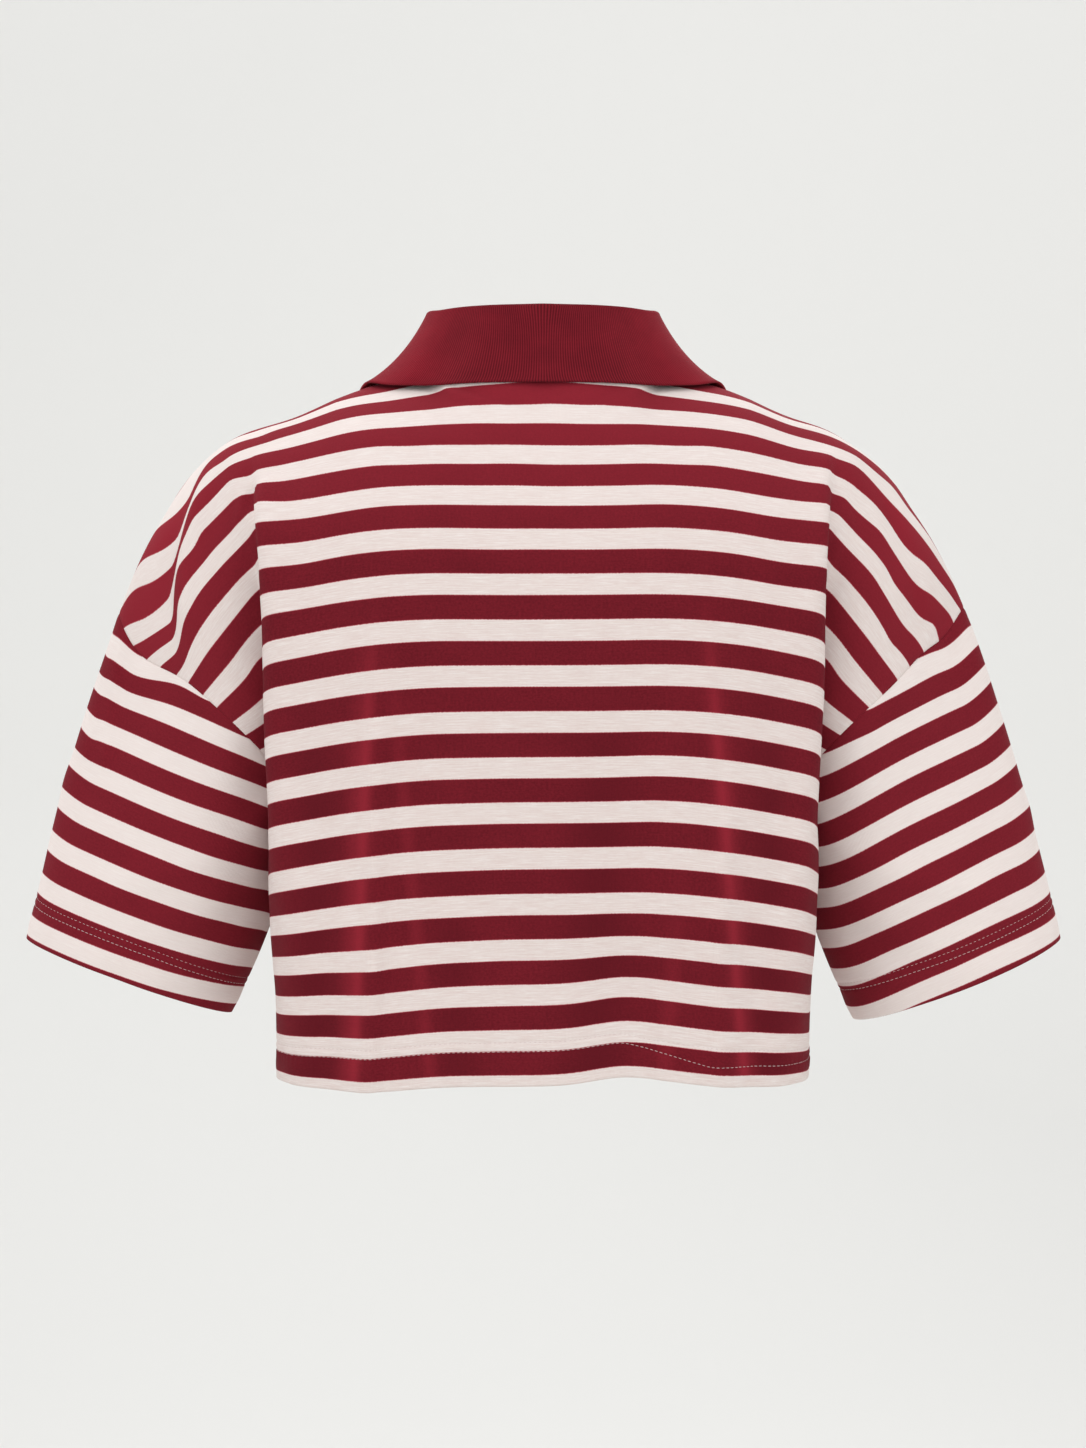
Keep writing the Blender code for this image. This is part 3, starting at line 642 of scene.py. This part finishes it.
frontMarks = onBothSides(evenMarks) + [
    mark((0.045, 0.15), (0.05, 0.01), lift=0.0012, width=(0.012, 0.01), fade=0.05),
    mark((-0.04, 0.17), (-0.038, 0.02), lift=0.0012, width=(0.014, 0.008), fade=0.04),
    mark((-0.15, 0.16), (-0.155, 0.02), lift=-0.0012, width=(0.014, 0.012), fade=0.05),
    mark((0.15, 0.2), (0.16, 0.05), lift=-0.001, width=(0.012, 0.014), fade=0.05),
    mark((0.19, 0.33), (0.12, 0.27), lift=0.0014, width=0.011, fade=0.04, bow=0.01),
    mark((-0.19, 0.33), (-0.13, 0.255), lift=0.0014, width=0.011, fade=0.04, bow=-0.01),
    mark((0.03, 0.345), (0.09, 0.3), lift=0.0008, width=0.009, fade=0.03),
    mark((-0.025, 0.34), (-0.075, 0.29), lift=0.0008, width=0.009, fade=0.03),
    mark((0.28, 0.452), (0.342, 0.4), slip=0.008, lift=0.0016, width=(0.02, 0.03), fade=0.026),
    mark((-0.27, 0.44), (-0.336, 0.395), lift=0.002, width=(0.008, 0.016)),
    mark((0.218, 0.4), (0.256, 0.345), lift=0.0014, width=(0.005, 0.01)),
]

panel = dict(thickness=0.0008, inner=54, outer=56, outerReach=0.105, rowsLow=46, rowsHigh=80,
             highReach=0.28, fineRows=31, fineFrom=0.0003, fineTo=0.034, turned=0.0010,
             turnedRows=(0.022, 0.0145, 0.007, 0.0012), groove=0.0005, grooveWidth=0.0015, neckFade=0.01,
             calm=0.012, allowance=0.004, turnTo=0.150, turnIn=0.6, seed=2)
seams = dict(last=(0.0036, 0.0020, 0.0009, 0.0), least=0.002)  # the last points before a seam
hemForm = dict(puff=0.0005, puffAt=0.011, puffWidth=0.007, dip=0.0005, dipWidth=0.0012, pucker=0.00022,
               puckerLength=0.011, wander=2, wanderBeat=31, rowGap=0.006, upperLeast=0.0262)
# level of the lower row of hem stitches, from the wearer's right to the left
backStitches = [(-0.30, 0.0165), (-0.175, 0.0150), (-0.135, 0.0130), (-0.103, 0.0175), (-0.064, 0.0230),
                (0.30, 0.0230)]
frontStitches = [(-0.30, 0.0232), (0.30, 0.0228)]


def atStitches(path, u):
    return np.interp(u, [place[0] for place in path], [place[1] for place in path])


def upperRow(lower):
    return np.maximum(lower + hemForm["rowGap"], hemForm["upperLeast"])


def hemRelief(lower, upper, u, v):  # a turned hem stands out a little and dips at its stitches
    lift = hemForm["puff"] * bell(v - hemForm["puffAt"], hemForm["puffWidth"])
    for row in (lower, upper):
        lift = lift - hemForm["dip"] * bell(v - row, hemForm["dipWidth"])
    wander = hemForm["wander"] * np.sin(hemForm["wanderBeat"] * u)
    waves = np.sin(u * 2 * math.pi / hemForm["puckerLength"] + wander)
    return lift + hemForm["pucker"] * waves * bell(v - lower, hemForm["rowGap"])


def seamShares(count, reach):  # even spacing that tightens in the last few millimetres before a seam
    plain = np.linspace(0, 1, count + 1)[:-1]
    last = 1 - np.array(seams["last"]) / reach
    return joined(plain[plain < last[0] - seams["least"] / reach], last)


def runLengths(points):  # how far along its row each point lies
    steps = lengths(np.diff(points, axis=1))
    return joined(0 * steps[:, :1], np.cumsum(steps, axis=1), axis=1)


def panelPiece(name, side, marks, stitches):
    outer = 1 + seamShares(panel["outer"], panel["outerReach"])
    across = joined(np.linspace(0, 1, panel["inner"] + 1), outer[1:])
    top = topLevel(side, across)
    turned = np.array(panel["turnedRows"] + (0.0,))
    fine = np.linspace(panel["fineFrom"], panel["fineTo"], panel["fineRows"])
    low = np.linspace(panel["fineTo"], cut["underarm"], panel["rowsLow"] + 1)[1:-1]
    high = seamShares(panel["rowsHigh"], panel["highReach"])
    level = joined(
        joined(turned, fine, low)[:, None] + 0 * across,
        cut["underarm"] + high[:, None] * (top - cut["underarm"]))
    first = len(turned)  # the first row outside
    inset = np.zeros_like(level)
    inset[:first] = panel["turned"]
    inset[first - 1] /= 2
    points = panelPoint(side, across, level)
    outward = panelOutward(side, across, level)
    reach = runLengths(points)
    toSide = reach[:, -1:] - reach
    toTop = np.maximum(top - level, 0)
    beyondNeck = np.clip((flatReach(across) - cut["neckHalf"]) / panel["neckFade"], 0, 1)
    dip = bell(toSide, panel["grooveWidth"]) + beyondNeck * bell(toTop, panel["grooveWidth"])
    inset[first:] += panel["groove"] * np.minimum(dip[first:], 1)
    calm = np.minimum(1, np.minimum(toSide, toTop) / panel["calm"])
    halves = []
    for sign in (1, -1):
        u = flatReach(across) * sign + 0 * level
        lift = (marked(marks, "lift", u, level) + rippled(u, level, panel["seed"] + side)) * calm
        sewn = atStitches(stitches, u)
        lift[first:] += hemRelief(sewn, upperRow(sewn), u, level)[first:]
        moved = points + outward * (lift - inset)[..., None]
        v = level + marked(marks, "slip", u, level)
        v[:first] = -level[:first]
        moved, cutU = withAllowance(moved, outward, reach * sign, sign)
        v = joined(v, v[:, -1:], axis=1)
        halves.append((moved * [sign, 1, 1], cutU, v))
    whole, wholeU, wholeV = (joined(b[:, :0:-1], a, axis=1) for a, b in zip(*halves))
    if side > 0:
        whole, wholeU, wholeV = turnedRound(whole, wholeU, wholeV)
    whole = folded(whole)
    piece = gridPiece(name, whole, np.stack([wholeU, wholeV], axis=-1), panel["thickness"], bodyCloth)
    widths = joined(flatReach(across), [cut["shoulderReach"]])
    widths = joined(-widths[:0:-1], widths)
    rows = joined(level, level[:, -1:], axis=1)
    rows = joined(rows[:, :0:-1], rows, axis=1)
    return piece, dict(points=whole[first:], rows=rows[first:], u=widths[::-1] if side > 0 else widths)


def withAllowance(points, outward, u, sign):  # the edge turns in at the side and the armhole
    last = points[:, -1]
    toMiddle = unit(np.array([panel["turnTo"], 0, 0]) - last * [1, 1, 0])
    inward = toMiddle * panel["turnIn"] - outward[:, -1] * (1 - panel["turnIn"])
    turned = last + unit(inward) * panel["allowance"]
    points = joined(points, turned[:, None], axis=1)
    return points, joined(u, u[:, -1:] + sign * panel["allowance"], axis=1)


backPanel, backSurface = panelPiece("back_cloth", 1, backMarks, backStitches)
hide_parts("back")
frontPanel, frontSurface = panelPiece("front_cloth", -1, frontMarks, frontStitches)
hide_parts("front")
print("body panels made")


sleeveForm = dict(thickness=0.0008, half=62, rows=52, over=0.236, drop=0.063, capShape=1.3, turned=0.0010,
                  turnedRows=(0.022, 0.014, 0.006, 0.0012), fineRows=33, fineFrom=0.0003, fineTo=0.036,
                  reach=0.17, calm=0.015, underCalm=0.01, bulge=0.0040, underBulge=0.0025, underShare=0.3,
                  depth=0.050, stitches=0.0238, upperStitches=0.0289, seed=5)
sleeveSides = dict(
    left=dict(sign=1, middle=(0.288, -0.045, -0.4053), half=(0.071, 0.0, 0.0258), tip=0.03),
    right=dict(sign=-1, middle=(0.288, -0.045, -0.4073), half=(0.072, 0.0, 0.0282), tip=0.10),
)
# on a sleeve u runs round it, 0 at the shoulder line and less to the front, and v up from its hem
leftMarks = [
    mark((0.004, 0.215), (0.016, 0.15), slip=0.0038, width=(0.01, 0.03), fade=0.016),
    mark((0.02, 0.22), (0.034, 0.15), lift=0.0014, width=(0.003, 0.009)),
    mark((0.105, 0.214), (0.15, 0.208), slip=0.005, width=(0.01, 0.009)),
    mark((0.172, 0.145), (0.19, 0.01), slip=-0.0046, width=0.055, fade=0.03),
    mark((0.17, 0.16), (0.08, 0.07), lift=0.0018, width=(0.014, 0.01), fade=0.04, bow=0.01),
    mark((0.2, 0.12), (0.12, 0.03), lift=-0.0014, width=0.012, fade=0.04),
    mark((-0.17, 0.16), (-0.05, 0.05), lift=0.002, width=0.014, fade=0.04, bow=0.01),
    mark((-0.14, 0.17), (-0.02, 0.12), lift=0.0016, width=0.012, fade=0.04),
]
rightMarks = [
    mark((0.005, 0.216), (0.11, 0.212), slip=0.0055, width=(0.03, 0.024)),
    mark((0.15, 0.19), (0.185, 0.01), slip=0.0064, width=(0.05, 0.042), fade=0.03),
    mark((0.03, 0.11), (0.075, 0.02), slip=-0.0017, width=0.03, fade=0.03),
    mark((0.17, 0.15), (0.07, 0.06), lift=0.0018, width=(0.013, 0.01), fade=0.04, bow=0.008),
    mark((0.2, 0.11), (0.13, 0.03), lift=-0.0014, width=0.012, fade=0.04),
    mark((-0.17, 0.15), (-0.07, 0.06), lift=0.002, width=0.014, fade=0.04, bow=-0.01),
    mark((-0.15, 0.16), (-0.02, 0.1), lift=0.0014, width=0.012, fade=0.04),
]


def sleeveHem(side, sleeve, level):
    angle = math.pi * (cut["seamTop"] - level) / (cut["seamTop"] - cut["underarm"])
    depth = side * sleeveForm["depth"] * np.array([0, math.cos(sleeve["tip"]), -math.sin(sleeve["tip"])])
    return (np.array(sleeve["middle"]) + np.cos(angle)[:, None] * np.array(sleeve["half"])
            + np.sin(angle)[:, None] * depth)


def sleevePiece(name, sleeve, marks):
    share = np.linspace(0, 1, sleeveForm["half"] + 1)  # up one side of the armhole, from the underarm
    level = cut["underarm"] + share * (cut["seamTop"] - cut["underarm"])
    share = joined(share, share[-2::-1])
    armhole = joined(panelPoint(-1, 2.0, level), panelPoint(1, 2.0, level)[-2::-1])
    hem = joined(sleeveHem(-1, sleeve, level), sleeveHem(1, sleeve, level)[-2::-1])
    length = sleeveForm["over"] - sleeveForm["drop"] * (1 - share) ** sleeveForm["capShape"]
    turned = np.array(sleeveForm["turnedRows"] + (0.0,))
    fine = np.linspace(sleeveForm["fineFrom"], sleeveForm["fineTo"], sleeveForm["fineRows"])
    upper = seamShares(sleeveForm["rows"], sleeveForm["reach"])[1:, None]
    w = joined(
        joined(turned, fine)[:, None] + 0 * length,
        sleeveForm["fineTo"] + upper * (length - sleeveForm["fineTo"]))
    first = len(turned)
    at = w / length
    points = hem + (armhole - hem) * at[..., None]
    reach = runLengths(points)
    sideways = np.gradient(points, axis=1)
    sideways[:, 0] = sideways[:, -1] = points[:, 1] - points[:, -2]
    outward = unit(np.cross(sideways, armhole - hem))
    toSeam = (1 - at) * length
    inset = panel["groove"] * bell(toSeam, panel["grooveWidth"])
    inset[:first] = sleeveForm["turned"]
    inset[first - 1] /= 2
    toUnder = np.minimum(reach, reach[:, -1:] - reach)
    calm = np.minimum(1, toSeam / sleeveForm["calm"]) * np.minimum(1, toUnder / sleeveForm["underCalm"])
    u = reach - reach[:, -1:] / 2
    lift = (marked(marks, "lift", u, w) + rippled(u, w, sleeveForm["seed"] + sleeve["sign"])) * calm
    lift[first:] += hemRelief(sleeveForm["stitches"], sleeveForm["upperStitches"], u, w)[first:]
    under = bell(share, sleeveForm["underShare"])
    bulge = sleeveForm["bulge"] + sleeveForm["underBulge"] * under
    points = points + outward * (lift - inset + bulge * np.sin(math.pi * at))[..., None]
    allowance = points[-1] + unit(armhole.mean(axis=0) - points[-1]) * panel["allowance"]
    v = w + marked(marks, "slip", u, w)
    v[:first] = -w[:first]
    points = joined(points, allowance[None]) * [sleeve["sign"], 1, 1]
    u = joined(u, u[-1:])
    v = joined(v, v[-1:] + panel["allowance"])
    rows = joined(w, w[-1:] + panel["allowance"])
    points[:, -1] = points[:, 0]
    if sleeve["sign"] < 0:
        points, u, v, rows = turnedRound(points, u, v, rows)
    points = folded(points)
    piece = gridPiece(name, points, np.stack([u, v], axis=-1), sleeveForm["thickness"], sleeveCloth, True)
    return piece, dict(points=points[first:], rows=rows[first:], u=u[first])


leftSleeve, leftSurface = sleevePiece("sleeve_left_cloth", sleeveSides["left"], leftMarks)
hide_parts("sleeve_left")
rightSleeve, rightSurface = sleevePiece("sleeve_right_cloth", sleeveSides["right"], rightMarks)
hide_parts("sleeve_right")
print("sleeves made")


collarForm = dict(thickness=0.0014, columns=110, standRows=14, rollRows=10, fallRows=24, foldWidth=0.005,
                  rollHeight=0.0016, below=0.0050, inward=0.0011, hollow=0.0022, lip=0.0007, lipWidth=0.05,
                  lift=0.0036, corner=0.62, fallSpread=0.9)
collarRows = [
    dict(at=0.0, stand=(0.0045, -0.103, -0.088), sag=0.0, flat=(0.06, 0.338)),
    dict(at=0.22, stand=(0.034, -0.095, -0.05), sag=0.0, flat=(0.096, 0.385)),
    dict(at=0.42, stand=(0.064, -0.064, 0.005), sag=0.001, flat=(0.124, 0.44)),
    dict(at=0.52, stand=(0.073, -0.038, 0.0315), sag=0.003, flat=(0.13, 0.475)),
    dict(at=0.62, stand=(0.075, -0.008, 0.046), sag=0.004, flat=(0.123, 0.5)),
    dict(at=0.78, stand=(0.065, 0.027, 0.0475), sag=0.003, edge=(0.0985, 0.025, -0.0012)),
    dict(at=0.84, stand=(0.0515, 0.0395, 0.048), sag=0.002, edge=(0.077, 0.0347, -0.0024)),
    dict(at=0.9, stand=(0.0345, 0.049, 0.048), sag=0.0, edge=(0.049, 0.055, -0.0026)),
    dict(at=1.0, stand=(0.0, 0.0535, 0.0482), sag=0.0, edge=(0.0, 0.065, -0.0028)),
]


def onFront(flat):
    across = np.array([flat[0] / cut["edgeReach"]])
    level = np.array([flat[1]])
    return (panelPoint(-1, across, level) + collarForm["lift"] * panelOutward(-1, across, level))[0]


def collarPiece():
    spots = [row["at"] for row in collarRows]
    edges = [row.get("edge") or tuple(onFront(row["flat"])) for row in collarRows]
    at = np.linspace(0, 1, collarForm["columns"] + 1)
    corner = collarForm["corner"]
    front = lineThrough(frontNeck, np.clip(at / corner, 0, 1))
    back = lineThrough(backNeck, np.clip((1 - at) / (1 - corner), 0, 1))
    seam = np.where((at < corner)[:, None], front, back)
    stand = through(spots, [row["stand"] for row in collarRows], at)
    edge = through(spots, edges, at)
    sag = through(spots, [(row["sag"],) for row in collarRows], at)
    away = unit((edge - seam) * [1, 1, 0])
    turned = stand + away * collarForm["foldWidth"]
    seam = seam - unit(seam * [1, 1, 0]) * collarForm["inward"]
    foot = seam - unit(stand - seam) * collarForm["below"]
    foot[0, 0] = seam[0, 0] = stand[0, 0]
    lines = [between(foot, stand, share) for share in np.linspace(0, 1, collarForm["standRows"] + 1)[:-1]]
    for angle in np.linspace(0, math.pi, collarForm["rollRows"] + 1)[:-1]:
        rise = np.array([0, 0, collarForm["rollHeight"] * math.sin(angle)])
        lines.append(between(stand, turned, 0.5 - 0.5 * math.cos(angle)) + rise)
    for share in np.linspace(0, 1, collarForm["fallRows"] + 1) ** collarForm["fallSpread"]:
        bow = np.array([0, 0, 4]) * sag + away * 4 * collarForm["hollow"]
        lip = collarForm["lip"] * math.exp(-((1 - share) / collarForm["lipWidth"]) ** 2)
        lines.append(between(turned, edge, share) - bow * share * (1 - share) + away * lip)
    points = np.array(lines)
    steps = lengths(np.diff(points, axis=0))
    v = joined(np.zeros((1, steps.shape[1])), np.cumsum(steps, axis=0))
    along = lengths(np.diff(points[collarForm["standRows"]], axis=0))
    u = -joined([0], np.cumsum(along))
    u = (u - u[-1])[None, :] + 0 * v
    whole = joined(points, points[:, -2::-1] * [-1, 1, 1], axis=1)
    wholeU = joined(u, -u[:, -2::-1], axis=1)
    wholeV = joined(v, v[:, -2::-1], axis=1)
    uvs = np.stack([wholeU, wholeV], axis=-1)
    piece = gridPiece("collar_rib", folded(whole), uvs, collarForm["thickness"], ribCloth)
    return piece


collar = collarPiece()
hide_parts("collar")
print("collar made")


stitch = dict(length=0.0024, gap=0.0009, width=0.00045, height=0.00036, above=0.00042, upperAbove=0.00030,
              segments=6, rings=4, nearby=0.002)


def lineOn(surface, wanted):  # the line on a piece at the wanted level, and the way out of the cloth
    def pick(values):
        line = [[np.interp(values[c], surface["rows"][:, c], surface["points"][:, c, k]) for k in range(3)]
                for c in range(len(values))]
        return np.array(line)
    line = pick(wanted)
    outward = unit(np.cross(np.gradient(line, axis=0), pick(wanted + stitch["nearby"]) - line))
    return line, outward


def sewRow(mesh, line, outward, above):  # small stitches laid one after another along a line
    reach = joined([0], np.cumsum(lengths(np.diff(line, axis=0))))
    pitch = stitch["length"] + stitch["gap"]
    for middle in np.arange(pitch, reach[-1] - pitch, pitch):
        wanted = ((middle, line), (middle + pitch / 4, line), (middle, outward))
        spot, ahead, up = (Vector([np.interp(place, reach, values[:, k]) for k in range(3)])
                           for place, values in wanted)
        way = (ahead - spot).normalized()
        beside = up.cross(way).normalized()
        made = bmesh.ops.create_uvsphere(mesh, u_segments=stitch["segments"], v_segments=stitch["rings"],
                                         radius=0.5)
        for vert in made["verts"]:
            x, y, z = vert.co
            vert.co = (spot + way * z * stitch["length"] + beside * x * stitch["width"]
                       + up * (y * stitch["height"] + above))


def sewHem(name, surface, lower, upper, ends):  # ends: how many points of the line stay free at each end
    mesh = bmesh.new()
    for level, above in ((lower, stitch["above"]), (upper, stitch["upperAbove"])):
        line, outward = lineOn(surface, level)
        sewRow(mesh, line[ends:-ends], outward[ends:-ends], above)
    bmesh.ops.recalc_face_normals(mesh, faces=mesh.faces)
    piece = pieceFrom(name, mesh, threadCloth)
    return piece


backLower = atStitches(backStitches, backSurface["u"])
frontLower = atStitches(frontStitches, frontSurface["u"])
backSewing = sewHem("back_hem_stitches", backSurface, backLower, upperRow(backLower), ends=2)
frontSewing = sewHem("front_hem_stitches", frontSurface, frontLower, upperRow(frontLower), ends=2)
sleeveRows = [np.full(len(leftSurface["u"]), sleeveForm[row]) for row in ("stitches", "upperStitches")]
leftSewing = sewHem("sleeve_left_hem_stitches", leftSurface, *sleeveRows, ends=1)
rightSewing = sewHem("sleeve_right_hem_stitches", rightSurface, *sleeveRows, ends=1)
print("stitches sewn")


room = dict(floor=-1.7, wall=-4.6, bend=1.4, half=9.0, near=9.0, high=6.0, steps=24,
            colour=(0.838, 0.834, 0.815), shadedColour=(0.775, 0.771, 0.753), fade=(-0.5, -1.4))


def makeRoom():
    mesh = bmesh.new()
    profile = [Vector((0, room["near"], room["floor"]))]
    for k in range(room["steps"] + 1):
        angle = math.pi / 2 * k / room["steps"]
        profile.append(Vector((0, room["wall"] + room["bend"] * (1 - math.sin(angle)),
                               room["floor"] + room["bend"] * (1 - math.cos(angle)))))
    profile.append(Vector((0, room["wall"], room["high"])))
    verts = [mesh.verts.new(point + Vector((-room["half"], 0, 0))) for point in profile]
    edges = [mesh.edges.new(pair) for pair in zip(verts, verts[1:])]
    made = bmesh.ops.extrude_edge_only(mesh, edges=edges)
    moved = [item for item in made["geom"] if isinstance(item, bmesh.types.BMVert)]
    bmesh.ops.translate(mesh, verts=moved, vec=(2 * room["half"], 0, 0))
    paper = Finish("studio_paper", Roughness=0.95)
    place = paper.node("ShaderNodeTexCoord", output=3)
    height = paper.node("ShaderNodeSeparateXYZ", None, {"Vector": place}, 2)
    # painted shade: the paper darker towards its bottom
    paper.set(Base_Color=paper.mix(paper.spread(height, *room["fade"]), room["colour"], room["shadedColour"]))
    objectFrom("studio_floor", mesh, paper.material)


lampNames = ("name", "place", "aim", "size", "power")
lamps = [dict(zip(lampNames, row)) for row in (
    ("key", (0.7, 2.0, 3.0), (0, 0, -0.2), 1.6, 26),
    ("fill_right", (-2.4, 2.2, 0.7), (0, 0, -0.2), 2.4, 24),
    ("fill_left", (2.4, 2.2, 0.7), (0, 0, -0.2), 2.4, 22),
    ("rim", (1.8, -1.8, 2.2), (0, 0, -0.1), 1.8, 28),
    ("front", (-0.8, -2.8, 1.6), (0, 0, -0.2), 2.4, 44),
    ("wall", (0.0, -1.9, 3.6), (0, -4.6, 0.2), 3.0, 22),
)]
air = dict(colour=(0.94, 0.945, 0.95), strength=0.80)


def makeLights():
    for lamp in lamps:
        data = bpy.data.lights.new(lamp["name"], "AREA")
        data.size = lamp["size"]
        data.energy = lamp["power"]
        light = linked(lamp["name"], data)
        light.location = lamp["place"]
        aim = Vector(lamp["aim"]) - Vector(lamp["place"])
        light.rotation_euler = aim.to_track_quat("-Z", "Y").to_euler()
    world = bpy.data.worlds.new("studio_air")
    world.use_nodes = True
    background = world.node_tree.nodes["Background"]
    background.inputs["Color"].default_value = (*air["colour"], 1)
    background.inputs["Strength"].default_value = air["strength"]
    bpy.context.scene.world = world
    bpy.context.scene.view_settings.view_transform = "Standard"


view = dict(place=(0.0, 2.5, -0.231), lens=90.8, sensor=36.0)


def makeCamera():
    data = bpy.data.cameras.new("photo_view")
    data.lens = view["lens"]
    data.sensor_width = view["sensor"]
    camera = linked("photo_view", data)
    camera.location = view["place"]
    camera.rotation_euler = (math.pi / 2, 0, math.pi)
    bpy.context.scene.camera = camera


makeRoom()
makeLights()
makeCamera()
print("room, light and camera made")
